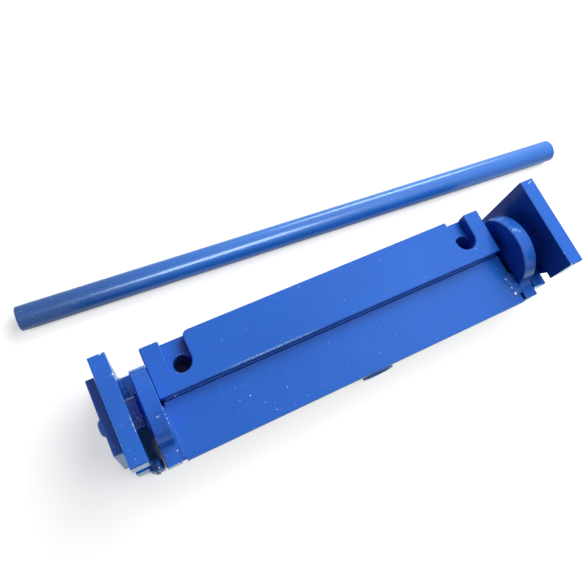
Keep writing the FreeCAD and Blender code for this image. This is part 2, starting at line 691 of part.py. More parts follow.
def make_apron_end_welds():
    """Fill of the gap at each end of the apron: flush on the left, low on the right."""
    welds = []
    back = "-%s + 2 * Sheet.edge_round" % APRON_BACK
    foot = "-0.9 * Sheet.apron_thickness"
    tops = {-1: "0", 1: "-0.55 * Sheet.apron_thickness"}
    for side, end in ((-1, "Left"), (1, "Right")):
        edge = "%d * Sheet.apron_length / 2" % side
        face = "%d * %s" % (side, CHEEK_IN)
        body = new_body("ApronEndWeld" + end)
        gap = sketch_on(body, "XZ_Plane", "ApronRootOutline" + end, back)
        polygon(gap, [(edge, foot), (face, foot), (face, tops[side]), (edge, tops[side])])
        pad(body, gap, "ApronRoot" + end, "Sheet.apron_width - 4 * Sheet.edge_round")
        if side < 0:
            add_disc_bead(body, face, back)
        else:
            add_heavy_bead(body, edge, face, tops[side])
        welds.append(body)
    group = doc.addObject("Part::Compound", "ApronEndWelds")
    group.Links = welds
    doc.recompute()
    keep(group, "apron_end_welds")


def add_disc_bead(body, face, back):
    """A thin bead in the corner between the flush fill and the left disc."""
    leg = "0.3 * Sheet.small_bead"
    outline = sketch_on(body, "XZ_Plane", "DiscBeadOutline", back)
    polygon(outline, [
        (face, "-0.1 * Sheet.small_bead"),
        (face, leg),
        ("%s + 0.6 * %s" % (face, leg), "0.6 * " + leg),
        ("%s + %s" % (face, leg), "0"),
        ("%s + %s" % (face, leg), "-0.1 * Sheet.small_bead"),
    ])
    run = "(%s - Sheet.tab_throat - Sheet.bend_gap)" % CHEEK_RADIUS
    pad(body, outline, "DiscBead", run)


def add_heavy_bead(body, edge, face, root):
    """A short flat bead that bridges the right gap and lies on the apron's top."""
    outline = sketch_on(body, "XZ_Plane", "HeavyBeadOutline",
                        "-%s + Sheet.heavy_bead_start" % PIVOT_Y)
    polygon(outline, [
        ("%s - Sheet.heavy_bead" % edge, "0"),
        ("%s - 0.7 * Sheet.heavy_bead" % edge, "Sheet.heavy_bead_rise"),
        (edge, "Sheet.heavy_bead_rise"),
        (face, "2 * Sheet.heavy_bead_rise"),
        (face, root),
        (edge, root),
        (edge, "0"),
    ])
    pad(body, outline, "HeavyBead", "Sheet.heavy_bead_length")


def make_pin_weld_rings():
    rings = []
    for side, end in ((-1, "Left"), (1, "Right")):
        body = new_body("PinWeldRing" + end)
        place(body, x=CHEEK_OUT if side > 0 else "-" + CHEEK_OUT, y=PIVOT_Y)
        if side < 0:
            body.Placement.Rotation = FreeCAD.Rotation(V(0, 0, 1), 180)
        section = sketch_on(body, "XY_Plane", "PinWeldSection" + end)
        radius = "Sheet.pin_dia / 2"
        bead = "Sheet.small_bead"
        polygon(section, [
            ("0", radius),
            (bead, radius),
            ("0.62 * " + bead, "%s + 0.62 * %s" % (radius, bead)),
            ("0", "%s + %s" % (radius, bead)),
        ])
        revolve(body, section, "PinWeld" + end, "X_Axis")
        rings.append(body)
    group = doc.addObject("Part::Compound", "PinWeldRings")
    group.Links = rings
    doc.recompute()
    keep(group, "pin_weld_rings")


def make_socket_weld_beads():
    """Beads in the two wedges between the round tube and the apron's flat underside."""
    beads = []
    start = "(-%s - Sheet.socket_lead - 2 * Sheet.edge_round)" % SOCKET_MOUTH
    length = "(%s - Sheet.socket_lead - 4 * Sheet.edge_round)" % SOCKET_LENGTH
    for side, end in ((-1, "Left"), (1, "Right")):
        prism = new_body("SocketWedge" + end)
        outline = sketch_on(prism, "XZ_Plane", "SocketWedgeOutline" + end,
                            "%s - %s" % (start, length))
        across = "Sheet.socket_place + %d * %s * " % (side, SOCKET_DIA)
        near_x = across + "0.30"
        far_x = across + "0.46"
        flat = "-Sheet.apron_thickness"
        deep = "%s - 0.24 * %s" % (flat, SOCKET_DIA)
        polygon(outline, [
            (near_x, flat),
            (far_x, flat),
            (across + "0.47", "%s - 0.14 * %s" % (flat, SOCKET_DIA)),
            (across + "0.44", deep),
            (near_x, deep),
        ])
        pad(prism, outline, "SocketWedge" + end + "Prism", length)
        tube = doc.addObject("Part::Cylinder", "SocketOutside" + end)
        tube.setExpression("Radius", SOCKET_DIA + " / 2")
        tube.setExpression("Height", "2 * " + SOCKET_LENGTH)
        tube.Placement.Rotation = FreeCAD.Rotation(V(1, 0, 0), -90)
        place(tube, x="Sheet.socket_place",
              y="%s - %s / 2" % (SOCKET_MOUTH, SOCKET_LENGTH), z=SOCKET_Z)
        bead = doc.addObject("Part::Cut", "SocketBead" + end)
        bead.Base = prism
        bead.Tool = tube
        beads.append(bead)
    group = doc.addObject("Part::Compound", "SocketWeldBeads")
    group.Links = beads
    doc.recompute()
    keep(group, "socket_weld_beads")


# Build

make_base_bar()
make_bed_bar()
for hand in (-1, 1):
    make_end_plate(hand)
    make_keeper_post(hand)
make_bed_weld_beads()
make_end_weld_beads()
make_keeper_weld_beads()
make_apron_plate()
for hand in (-1, 1):
    make_cheek(hand)
    make_pivot_pin(hand)
    make_retaining_plate(hand)
make_retaining_screws()
make_apron_end_welds()
make_pin_weld_rings()
make_handle_socket()
make_socket_weld_beads()
make_clamp_plate()
make_handle_bar()
doc.recompute()

# Check every object, then write each piece

for thing in doc.Objects:
    if "Invalid" in thing.State or "Error" in thing.State:
        raise RuntimeError("%s is %s" % (thing.Name, thing.State))
os.makedirs("parts", exist_ok=True)
for piece in parts:
    if piece.Shape.isNull() or not piece.Shape.isValid():
        raise RuntimeError(piece.Label + " has no valid shape")
for piece in parts:
    piece.Shape.exportStep("parts/%s.step" % piece.Label)
    box = piece.Shape.BoundBox
    print("%-22s solids %d volume %9.1f  x %.1f %.1f  y %.1f %.1f  z %.1f %.1f" % (
        piece.Label, len(piece.Shape.Solids), piece.Shape.Volume,
        box.XMin, box.XMax, box.YMin, box.YMax, box.ZMin, box.ZMax))
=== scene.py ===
import json
import math
import random
from collections import namedtuple
import bmesh
import bpy
from mathutils import Euler, Matrix, Vector, noise


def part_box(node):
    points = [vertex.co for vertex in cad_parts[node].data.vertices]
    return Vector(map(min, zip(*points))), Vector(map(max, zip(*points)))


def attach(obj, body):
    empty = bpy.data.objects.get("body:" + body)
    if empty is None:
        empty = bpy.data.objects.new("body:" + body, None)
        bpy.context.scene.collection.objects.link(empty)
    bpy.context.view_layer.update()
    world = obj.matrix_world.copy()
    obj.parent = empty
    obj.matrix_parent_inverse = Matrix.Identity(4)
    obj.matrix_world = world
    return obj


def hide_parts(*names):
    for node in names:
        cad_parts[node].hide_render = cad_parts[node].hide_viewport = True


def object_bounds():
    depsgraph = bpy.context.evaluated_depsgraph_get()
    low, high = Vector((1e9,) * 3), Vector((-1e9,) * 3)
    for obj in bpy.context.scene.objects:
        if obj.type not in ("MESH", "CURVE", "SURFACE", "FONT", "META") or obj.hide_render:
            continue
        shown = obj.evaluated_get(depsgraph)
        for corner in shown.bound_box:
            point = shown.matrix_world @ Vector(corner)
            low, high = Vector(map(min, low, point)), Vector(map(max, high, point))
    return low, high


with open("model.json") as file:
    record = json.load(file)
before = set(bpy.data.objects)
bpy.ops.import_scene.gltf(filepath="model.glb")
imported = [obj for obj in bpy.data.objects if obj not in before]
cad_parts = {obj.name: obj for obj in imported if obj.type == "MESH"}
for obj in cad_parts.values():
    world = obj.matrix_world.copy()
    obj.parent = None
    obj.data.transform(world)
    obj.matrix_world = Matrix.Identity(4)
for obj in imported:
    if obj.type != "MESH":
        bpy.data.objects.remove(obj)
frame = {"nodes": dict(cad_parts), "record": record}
cad_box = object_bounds()

MM = 0.001


# The photograph's camera, solved from the machine's corners: metres and degrees

PHOTO_WIDTH = 588
FOCAL_PIXELS = 639.5
SENSOR_WIDTH = 36.0
CAMERA_PLACE = (-0.16415, -0.09510, 0.47096)
CAMERA_TURN = (19.8106, -9.0253, -25.9147)


# Sizes of the paint's relief and marks, of the thread in the tapped holes and of the weld beads

ENAMEL_IOR = 1.33
SKIN_HEIGHT = 0.06 * MM
SWELL_HEIGHT = 0.14 * MM
NIB_HEIGHT = 0.10 * MM
WORN_DEPTH = 0.06 * MM
EDGE_REACH = 0.7 * MM
CORNER_REACH = 5.0 * MM
END_SHADE_LENGTH = 190.0 * MM
DUSTY_LENGTH = 85.0 * MM
TAPPED_HOLE_X = 127.0 * MM
TAPPED_HOLE_REACH = 7.3 * MM
THREAD_PITCH = 2.0 * MM
THREAD_TOP = -0.3 * MM

Bead = namedtuple("Bead", "reach rise")
FILLET_BEAD = Bead(3.3 * MM, 2.3 * MM)
POST_BEAD = Bead(2.4 * MM, 1.9 * MM)
DOTTED_BEAD = Bead(0.8 * MM, 0.75 * MM)
FILL_BEAD = Bead(5.0 * MM, 2.98 * MM)
SEAM_BEAD = Bead(2.4 * MM, 1.6 * MM)
RING_BEAD = Bead(2.1 * MM, 1.5 * MM)
SOCKET_BEAD = Bead(2.9 * MM, 2.2 * MM)

STITCHES = 4
STITCH_LENGTH = 46.0 * MM
RUN_INSET = 2.0 * MM
FILLET_OFF_SEAM = 1.2 * MM
POST_BEAD_REACH = 3.2 * MM
POST_BEAD_OFF = 0.8 * MM
HEAVY_BACK = -37.0 * MM
HEAVY_LENGTH = 20.5 * MM
FILL_DEPTH = 2.7 * MM
RIGHT_SEAM_Z = -7.0 * MM
RING_OFF = 0.7 * MM


# Colours of the paint and the table: red, green, blue, opacity

DEEP_BLUE = (0.010, 0.094, 0.47)
FULL_BLUE = (0.014, 0.114, 0.545)
PALE_PAINT_AND_EDGE_HIGHLIGHT = (0.12, 0.38, 0.82, 1)
NIB_DUST_AND_HIGHLIGHT = (0.32, 0.60, 0.92, 1)
COARSE_NIB = (0.45, 0.68, 0.95, 1)
PAINTED_END_SHADE = (0.012, 0.040, 0.16, 1)
DUSTY_PAINT = (0.25, 0.44, 0.66, 1)
WORN_EDGE = (0.50, 0.66, 0.80, 1)
BURR = (0.42, 0.62, 0.80, 1)
PAINTED_HIGHLIGHT = (0.25, 0.52, 0.95, 1)
CHIP_AND_HIGHLIGHT = (0.80, 0.87, 0.96, 1)
PAINTED_CORNER_SHADE = (0.001, 0.008, 0.05, 1)

WHITE = (1, 1, 1, 1)
PALE_TABLE = (0.62, 0.62, 0.61, 1)
MIRRORED_TABLE = (0.50, 0.60, 0.62, 1)
SHADED_TABLE = (0.03, 0.05, 0.06, 1)
PAINTED_SHADE_TABLE = (0.002, 0.008, 0.02, 1)
DULL_TABLE = (0.22, 0.22, 0.22, 1)
MIRRORED_GLOW = (0.76, 0.95, 1.0, 1)
PAINTED_BOUNCE_GLOW = (0.10, 0.30, 1.0, 1)
ROOM_LIGHT = (0.93, 0.985, 1.0, 1)
STRIP_LIGHT = (0.80, 1.0, 1.0)


# Node helpers for materials

def new_material(name):
    material = bpy.data.materials.new(name)
    material.use_nodes = True
    material.node_tree.nodes.clear()
    return material


class Graph:
    """Short calls for building one tree of shader nodes."""

    def __init__(self, tree, coordinates="Object"):
        self.tree = tree
        self.place = tree.nodes.new("ShaderNodeTexCoord").outputs[coordinates]

    def node(self, kind, inputs=None, **settings):
        made = self.tree.nodes.new(kind)
        for key, value in settings.items():
            setattr(made, key, value)
        for key, value in (inputs or {}).items():
            self.feed(made.inputs[key], value)
        return made

    def feed(self, socket, value):
        if isinstance(value, bpy.types.NodeSocket):
            self.tree.links.new(value, socket)
        else:
            socket.default_value = value

    def math(self, operation, a, b=0.0, clamp=False):
        return self.node("ShaderNodeMath", {0: a, 1: b}, operation=operation, use_clamp=clamp).outputs[0]

    def chain(self, operation, values):
        result = values[0]
        for value in values[1:]:
            result = self.math(operation, result, value)
        return result

    def times(self, *values):
        return self.chain("MULTIPLY", values)

    def plus(self, *values):
        return self.chain("ADD", values)

    def largest(self, *values):
        return self.chain("MAXIMUM", values)

    def minus(self, a, b):
        return self.math("SUBTRACT", a, b)

    def absolute(self, value):
        return self.math("ABSOLUTE", value)

    def vector_math(self, operation, a, b=(0, 0, 0)):
        return self.node("ShaderNodeVectorMath", {0: a, 1: b}, operation=operation).outputs["Value"]

    def axes(self):
        """The X, Y and Z of the place."""
        return self.node("ShaderNodeSeparateXYZ", {"Vector": self.place}).outputs

    def distance_from(self, x, y, z):
        """How far the surface lies from a place given in millimetres."""
        return self.vector_math("DISTANCE", self.place, (x * MM, y * MM, z * MM))

    def noise(self, scale, detail=2.0, roughness=0.5, stretch=None):
        place = self.place
        if stretch:
            place = self.node("ShaderNodeMapping", {"Vector": place, "Scale": stretch}).outputs[0]
        made = self.node("ShaderNodeTexNoise", {
            "Vector": place, "Scale": scale, "Detail": detail, "Roughness": roughness})
        return made.outputs["Fac"]

    def step(self, value, low, high, to_low=0.0, to_high=1.0):
        """A smooth change from one value to another as the input goes from low to high."""
        made = self.node("ShaderNodeMapRange", {
            "Value": value, "From Min": low, "From Max": high,
            "To Min": to_low, "To Max": to_high}, interpolation_type="SMOOTHSTEP")
        return made.outputs[0]

    def mix(self, share, first, second):
        """A colour mixed from two, by the share of the second."""
        made = self.node("ShaderNodeMix", {0: share}, data_type="RGBA", clamp_factor=True)
        self.feed(made.inputs[6], first)
        self.feed(made.inputs[7], second)
        return made.outputs[2]

    def mix_shaders(self, share, first, second):
        """A shader mixed from two, by the share of the second."""
        return self.node("ShaderNodeMixShader", {0: share, 1: first, 2: second}).outputs[0]

    def specks(self, scale, size, share):
        """Round specks in a share of the cells of a random grid, as a mask."""
        cells = self.node("ShaderNodeTexVoronoi", {
            "Vector": self.place, "Scale": scale, "Randomness": 1.0})
        tone = self.node("ShaderNodeSeparateColor", {"Color": cells.outputs["Color"]})
        chosen = self.math("LESS_THAN", tone.outputs[0], share)
        reach = self.plus(self.times(tone.outputs[1], size), 0.35 * size)
        near = self.minus(reach, cells.outputs["Distance"])
        return self.times(self.math("MULTIPLY", near, 3.0 / size, clamp=True), chosen)

    def dabs(self, spots, ragged=1.8 * MM, crisp=3.0):
        """Small ragged spots round given points, as a mask."""
        wobble = self.times(self.noise(scale=1500.0, detail=4.0, roughness=0.6), ragged)
        masks = []
        for x, y, z, reach in spots:
            spread = self.plus(self.distance_from(x, y, z), wobble)
            near = self.minus(reach * MM + ragged / 2.0, spread)
            masks.append(self.math("MULTIPLY", near, crisp / MM, clamp=True))
        return self.largest(*masks)

    def edges(self, radius):
        """How far the surface bends within a radius: 0 on a face, towards 1 on an edge."""
        rounded = self.node("ShaderNodeBevel", {"Radius": radius}, samples=6)
        flat = self.node("ShaderNodeNewGeometry")
        return self.minus(1.0, self.vector_math("DOT_PRODUCT", rounded.outputs[0], flat.outputs["Normal"]))

    def openness(self, reach, samples):
        """1 in the open, less in corners narrower than the reach."""
        return self.node("ShaderNodeAmbientOcclusion", {"Distance": reach}, samples=samples).outputs["AO"]

    def seen(self, path):
        """1 where the camera looks at a thing straight, in a reflection or through glass."""
        return self.largest(path.outputs["Is Camera Ray"], path.outputs["Is Glossy Ray"],
                            path.outputs["Is Transmission Ray"])


# Masks and relief of the sprayed enamel

def dust_nibs(g, amount):
    """Dust caught in the wet paint, coarse and fine."""
    coarse = g.specks(scale=210.0, size=0.13, share=0.10 * amount)
    fine = g.specks(scale=520.0, size=0.16, share=0.07 * amount)
    return g.largest(coarse, fine)


def worn_edges(g, edge):
    """Where the paint has gone from an edge, in ragged stretches."""
    stretches = g.step(g.noise(scale=160.0, detail=4.0, roughness=0.65), 0.56, 0.70)
    return g.times(g.step(edge, 0.05, 0.20), stretches)


def end_shade_and_dust(g, end_x):
    """Painted shade darkening the bar towards its left end, and the pale dust on that end, both fading
    along X.
    """
    x, _, _ = g.axes()
    end_shade = g.step(x, end_x, end_x + END_SHADE_LENGTH, 0.72, 0.0)
    near_end = g.step(x, end_x, end_x + DUSTY_LENGTH, 0.60, 0.0)
    patches = g.step(g.noise(scale=95.0, detail=3.0, roughness=0.6), 0.38, 0.60)
    return end_shade, g.times(near_end, patches, g.specks(scale=700.0, size=0.30, share=0.34))


def burrs(g, start_x, end_x, edge_y, edge_z):
    """Pale grit along one stretch of a plate's front top edge, given in millimetres."""
    x, y, z = g.axes()
    off = g.plus(g.absolute(g.minus(y, edge_y * MM)), g.absolute(g.minus(z, edge_z * MM)))
    near = g.step(off, 0.7 * MM, 2.0 * MM, 0.75, 0.0)
    sets_in = g.step(x, start_x * MM, (start_x + 24) * MM)
    dies_out = g.step(x, (end_x - 45) * MM, end_x * MM, 1.0, 0.0)
    grit = g.step(g.noise(scale=900.0, detail=4.0, roughness=0.7), 0.40, 0.62)
    return g.times(near, grit, sets_in, dies_out)


def nib_patch(g, x, y, z, reach):
    """A patch of coarser dust nibs round a point, thinning outwards, given in millimetres."""
    near = g.step(g.distance_from(x, y, z), 0.4 * reach * MM, reach * MM, 0.9, 0.0)
    return g.times(near, g.specks(scale=360.0, size=0.15, share=0.42))


def tapped_thread(g):
    """Height of the thread's ridges on the walls of the two tapped holes."""
    x, y, z = g.axes()
    across = g.minus(g.absolute(x), TAPPED_HOLE_X)
    from_axis = g.math("SQRT", g.plus(g.math("POWER", across, 2.0), g.math("POWER", y, 2.0)))
    in_hole = g.math("LESS_THAN", from_axis, TAPPED_HOLE_REACH)
    below_rim = g.math("LESS_THAN", z, THREAD_TOP)
    return g.times(g.math("PINGPONG", z, THREAD_PITCH / 2.0), in_hole, below_rim)


def paint_relief(g, peel, dust, worn, thread):
    """Orange peel, a slower swell and the nibs stand up, and worn edges lie lower."""
    skin = g.noise(scale=430.0 * peel, detail=2.0, roughness=0.5)
    swell = g.noise(scale=90.0, detail=2.0, roughness=0.5)
    height = g.plus(g.times(skin, SKIN_HEIGHT), g.times(swell, SWELL_HEIGHT), g.times(dust, NIB_HEIGHT))
    height = g.minus(height, g.times(worn, WORN_DEPTH))
    if thread:
        height = g.plus(height, tapped_thread(g))
    return g.node("ShaderNodeBump", {"Strength": 0.9, "Distance": 1.0, "Height": height}).outputs[0]


def sprayed_blue(g, tone, green):
    """Blue that clouds from deep to full, with a fine pale grain."""
    deep, full = [(red * tone, mid * tone * green, blue * tone, 1)
                  for red, mid, blue in (DEEP_BLUE, FULL_BLUE)]
    cloud = g.step(g.noise(scale=22.0, detail=3.0, roughness=0.55), 0.0, 1.0)
    grain = g.step(g.noise(scale=900.0, detail=2.0, roughness=0.6), 0.25, 0.75)
    return g.mix(g.times(grain, 0.08), g.mix(cloud, deep, full), PALE_PAINT_AND_EDGE_HIGHLIGHT)


def blue_enamel(name, tone=1.0, green=1.0, peel=1.0, nibs=1.0, gloss=0.18, lacquer=0.08, sheen=0.14,
                corner_shade=0.8, chips_and_highlights=(), painted_highlights=(), thread=False, shaded_dusty_end=None, burred=None,
                nibbed=None):
    """Sprayed royal blue enamel: orange peel, dust nibs, thin paint and chips on edges, with painted
    highlights on edges, nibs and given spots, and painted shade in corners.
    """
    material = new_material(name)
    g = Graph(material.node_tree)
    dust = dust_nibs(g, nibs)
    edge = g.edges(EDGE_REACH)
    worn = worn_edges(g, edge)

    colour = sprayed_blue(g, tone, green)
    # Nibs paler: dust caught in the paint, and a painted highlight on each nib
    colour = g.mix(g.times(dust, 0.42), colour, NIB_DUST_AND_HIGHLIGHT)
    # Painted shade: the bar darkens towards its left end; the pale specks there are dust
    if shaded_dusty_end is not None:
        end_shade, dusted = end_shade_and_dust(g, shaded_dusty_end)
        colour = g.mix(end_shade, colour, PAINTED_END_SHADE)
        colour = g.mix(dusted, colour, DUSTY_PAINT)
    # Edges lighter: thin paint there, and a painted highlight along every edge
    colour = g.mix(g.times(g.step(edge, 0.02, 0.22), 0.30), colour, PALE_PAINT_AND_EDGE_HIGHLIGHT)
    colour = g.mix(g.times(worn, 0.85), colour, WORN_EDGE)
    # Painted shade: the paint is darkened in corners and narrow gaps, by how shut in each point is
    colour = g.mix(g.step(g.openness(CORNER_REACH, samples=4), 0.10, 0.55, corner_shade, 0.0), colour, PAINTED_CORNER_SHADE)
    # Painted highlights: soft pale patches at given spots on the right disc's rim
    if painted_highlights:
        colour = g.mix(g.times(g.dabs(painted_highlights, ragged=3.0 * MM, crisp=0.5), 0.45), colour, PAINTED_HIGHLIGHT)
    # White dots at given spots: chips of the paint, and painted highlights on rims, welds and edges
    if chips_and_highlights:
        colour = g.mix(g.dabs(chips_and_highlights), colour, CHIP_AND_HIGHLIGHT)
    if burred:
        colour = g.mix(burrs(g, *burred), colour, BURR)
    if nibbed:
        colour = g.mix(nib_patch(g, *nibbed), colour, COARSE_NIB)

    smears = g.step(g.noise(scale=38.0, detail=4.0, roughness=0.6, stretch=(0.6, 1.6, 1.0)), 0.35, 0.75)
    shader = g.node("ShaderNodeBsdfPrincipled", {
        "Base Color": colour,
        "Roughness": g.plus(g.times(smears, 0.06), gloss, g.times(worn, 0.15)),
        "Normal": paint_relief(g, peel, dust, worn, thread),
        "IOR": ENAMEL_IOR,
        "Coat Weight": lacquer,
        "Coat Roughness": sheen,
    })
    g.node("ShaderNodeOutputMaterial", {"Surface": shader.outputs[0]})
    return material


# Chips of the paint and painted highlights, as white dots: place on the machine and reach, in millimetres

PLATE_CHIPS_AND_HIGHLIGHTS = (
    (180.7, 16.5, 43.5, 0.5), (182.1, 17.0, 43.5, 0.6), (183.5, 17.4, 43.5, 0.5),
    (175.0, -57.6, 43.4, 0.8), (179.0, -57.8, 43.3, 0.6), (174.3, -47.0, 43.4, 0.5),
    (-177.2, 19.3, 43.5, 0.8), (-175.2, 19.5, 43.5, 0.6), (-174.4, 3.4, 43.4, 0.8),
    (-157.0, -63.7, -0.4, 0.6), (-153.9, -55.5, 0.0, 0.6),
    (-158.6, -32.0, 27.5, 0.6), (-157.1, -31.9, 27.5, 0.5), (-170.5, -24.6, 11.6, 0.8),
    (-168.2, -24.3, 11.7, 0.7), (-169.8, -26.4, 10.8, 0.6), (155.6, -10.6, 28.5, 0.4),
    (154.6, -11.8, 28.9, 0.4), (157.2, -11.6, 28.8, 0.3), (156.6, -9.6, 28.2, 0.3),
    (153.3, -23.4, 29.7, 0.2), (153.3, -29.7, 28.4, 0.2),
) + tuple((-174.2, -26.2 - 1.3 * i, 43.3, 0.25 + 0.12 * (i % 3)) for i in range(10))
PLATE_PAINTED_HIGHLIGHTS = ((157.6, -11.5, 28.9, 2.6), (160.0, -14.0, 29.4, 2.0), (156.0, -7.5, 27.3, 1.4))
BED_CHIPS_AND_HIGHLIGHTS = (
    (-129.1, 7.0, 0.0, 0.4), (-127.4, 7.4, 0.0, 0.4), (-125.8, 7.4, 0.0, 0.4),
    (-123.6, 7.2, 0.0, 0.5), (-132.9, -4.2, 0.0, 0.5), (-131.6, -5.4, 0.0, 0.5),
    (124.7, 6.7, 0.0, 0.4), (129.7, 6.4, 0.0, 0.6),
    (-141.1, -19.7, -0.2, 0.5), (-139.0, -19.7, -0.2, 0.5), (-130.0, -19.7, -0.2, 0.4),
)
BRIGHT_BALLS = ((144.7, -41.9, 0.8, 0.8), (145.4, -50.5, 0.9, 0.8), (145.9, -56.0, 1.1, 1.5))
WELD_CHIPS_AND_HIGHLIGHTS = BRIGHT_BALLS + (
    (-152.5, -21.6, 0.7, 0.9), (-152.5, -23.8, 0.7, 1.0), (-152.5, -26.0, 0.7, 0.7),
    (-152.5, -28.6, 0.7, 0.8), (-152.5, -32.0, 0.7, 0.7), (-152.5, -35.4, 0.7, 0.6),
    (-170.2, -55.8, -5.0, 0.6), (-167.4, -60.4, -5.4, 0.5), (-169.9, -60.6, -5.0, 0.7),
)

# The burred stretch's start, end and edge, and the nib patch's middle and reach, in millimetres

CLAMP_BURR = (-108.0, -12.0, -19.0, 10.0)
APRON_NIBS = (-80.0, -42.0, 0.0, 34.0)
BAR_END_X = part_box("handle_bar")[0][0]

ENAMEL = blue_enamel("royal_blue_enamel", chips_and_highlights=PLATE_CHIPS_AND_HIGHLIGHTS, painted_highlights=PLATE_PAINTED_HIGHLIGHTS)
WELD_ENAMEL = blue_enamel("pooled_enamel", tone=0.92, peel=0.6, nibs=1.6, gloss=0.15, lacquer=0.1,
                          sheen=0.05, corner_shade=0.3, chips_and_highlights=WELD_CHIPS_AND_HIGHLIGHTS)
OWN_ENAMEL = {
    "clamp_plate": blue_enamel("royal_blue_enamel_clamp", burred=CLAMP_BURR),
    "apron_plate": blue_enamel("royal_blue_enamel_apron", nibbed=APRON_NIBS),
    "bed_bar": blue_enamel("royal_blue_enamel_tapped", chips_and_highlights=BED_CHIPS_AND_HIGHLIGHTS, thread=True),
    "handle_bar": blue_enamel("bar_enamel", tone=1.06, green=1.22, peel=0.8, nibs=1.4, gloss=0.30,
                              lacquer=0.5, sheen=0.17, shaded_dusty_end=BAR_END_X),
}


# Painted solids: each is a merged, smooth-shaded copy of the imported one

SHARP_ANGLE = math.radians(40)
SAME_POINT = 0.002 * MM
BODY_OF = {node: body for body, nodes in frame["record"]["behaviour"]["bodies"].items()
           for node in nodes}


def link(name, data):
    made = bpy.data.objects.new(name, data)
    bpy.context.scene.collection.objects.link(made)
    return made


def stand_in(piece, node):
    """Put a piece in its solid's place: on the same body, with the solid itself hidden."""
    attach(piece, BODY_OF[node])
    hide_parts(node)


def painted(node, material):
    """A copy of a solid with its doubles merged, so its round faces shade smoothly."""
    mesh = frame["nodes"][node].data.copy()
    bm = bmesh.new()
    bm.from_mesh(mesh)
    bmesh.ops.remove_doubles(bm, verts=bm.verts, dist=SAME_POINT)
    bm.to_mesh(mesh)
    bm.free()
    mesh.name = node + "_skin"
    mesh.materials.clear()
    mesh.materials.append(material)
    if "custom_normal" in mesh.attributes:
        mesh.attributes.remove(mesh.attributes["custom_normal"])
    mesh.shade_smooth()
    mesh.set_sharp_from_angle(angle=SHARP_ANGLE)
    piece = link(node + "_painted", mesh)
    weighted = piece.modifiers.new("flat_faces_stay_flat", "WEIGHTED_NORMAL")
    weighted.keep_sharp = True
    weighted.mode = "FACE_AREA"
    stand_in(piece, node)


# Weld beads: rows of overlapping ripples with spatter beside them

def ripple(bm, centre, along, up, reach, thick, rise):
    """One ripple: a squashed ball, its short axis along the run and leaning back."""
    forward = Vector(along).normalized()
    lift = Vector(up).normalized()
    side = forward.cross(lift).normalized()
    lean = (forward + 0.35 * lift).normalized()
    top = side.cross(lean).normalized() * -1.0
    shape = Matrix((side * reach, lean * thick, top * rise)).transposed().to_4x4()
    bmesh.ops.create_icosphere(bm, subdivisions=2, radius=1.0,
                               matrix=Matrix.Translation(centre) @ shape)


def weld_run(bm, start, end, up, bead, rng, gap=0.42, uneven=1.0):
    """A row of ripples from start to end, each a little off its neighbours."""
    start, end = Vector(start), Vector(end)
    length = (end - start).length
    count = max(2, int(length / (gap * bead.reach)))
    along = (end - start).normalized()
    side = along.cross(Vector(up).normalized())
    for i in range(count + 1):
        swell = 1.0 + uneven * rng.uniform(-0.12, 0.08)
        shift = uneven * rng.uniform(-0.08, 0.08) * bead.reach
        centre = start.lerp(end, i / count) + side * shift
        ripple(bm, centre, along, up, bead.reach * swell, 0.62 * bead.reach, bead.rise * swell)


def weld_ring(bm, centre, radius, up_out, bead, rng, gap=0.42):
    """A closed row of ripples round a pin, in a plane square to X."""
    count = int(2.0 * math.pi * radius / (gap * bead.reach))
    for i in range(count):
        angle = 2.0 * math.pi * i / count
        outward = Vector((0, math.cos(angle), math.sin(angle)))
        along = Vector((0, -math.sin(angle), math.cos(angle)))
        swell = rng.uniform(0.90, 1.08)
        ripple(bm, Vector(centre) + outward * radius, along, outward + Vector(up_out),
               bead.reach * swell, 0.6 * bead.reach, bead.rise * swell)


def ball(bm, centre, radius, subdivisions=2):
    bmesh.ops.create_icosphere(bm, subdivisions=subdivisions, radius=radius,
                               matrix=Matrix.Translation(centre))


def spatter(bm, low, high, level, count, size, rng):
    """Small balls of spatter, half sunk into the level top face under them."""
    for _ in range(count):
        spot = Vector([rng.uniform(a, b) for a, b in zip(low, high)])
        spot.z = level
        ball(bm, spot, size * rng.uniform(0.45, 1.0))


def drop(bm, corner, off, size, seed):
    """One smooth, slightly uneven drop of weld metal, off a corner by some millimetres."""
    centre = Vector(corner) + Vector(off) * MM
    made = bmesh.ops.create_icosphere(bm, subdivisions=5, radius=1.0)
    for vert in made["verts"]:
        swell = 1.0 + 0.16 * noise.noise(vert.co * 1.7 + Vector((seed, 0, 0)))
        vert.co = centre + Vector([a * b * MM * swell for a, b in zip(vert.co, size)])


def weld_piece(name, node, bm):
    mesh = bpy.data.meshes.new(name)
    bm.to_mesh(mesh)
    bm.free()
    mesh.materials.append(WELD_ENAMEL)
    mesh.shade_smooth()
    stand_in(link(name, mesh), node)


def corners_of(node):
    low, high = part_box(node)
    return Vector(low), Vector(high)


def make_bed_welds():
    """Stitch welds between the bed and the flat bar under it, in front and behind."""
    rng = random.Random(11)
    bm = bmesh.new()
    low, high = corners_of("bed_weld_beads")
    bed_low, _ = corners_of("bed_bar")
    _, base_high = corners_of("base_bar")
    seam = base_high.z
    rows = ((bed_low.y - FILLET_OFF_SEAM, seam + FILLET_OFF_SEAM, (0, -1, 1)),
            (base_high.y + FILLET_OFF_SEAM, seam - FILLET_OFF_SEAM, (0, 1, -1)))
    pitch = (high.x - low.x - STITCH_LENGTH) / (STITCHES - 1)
    for i in range(STITCHES):
        x = low.x + i * pitch
        for y, z, up in rows:
            weld_run(bm, (x + RUN_INSET, y, z), (x + STITCH_LENGTH - RUN_INSET, y, z), up,
                     FILLET_BEAD, rng)
    weld_piece("bed_stitch_welds", "bed_weld_beads", bm)


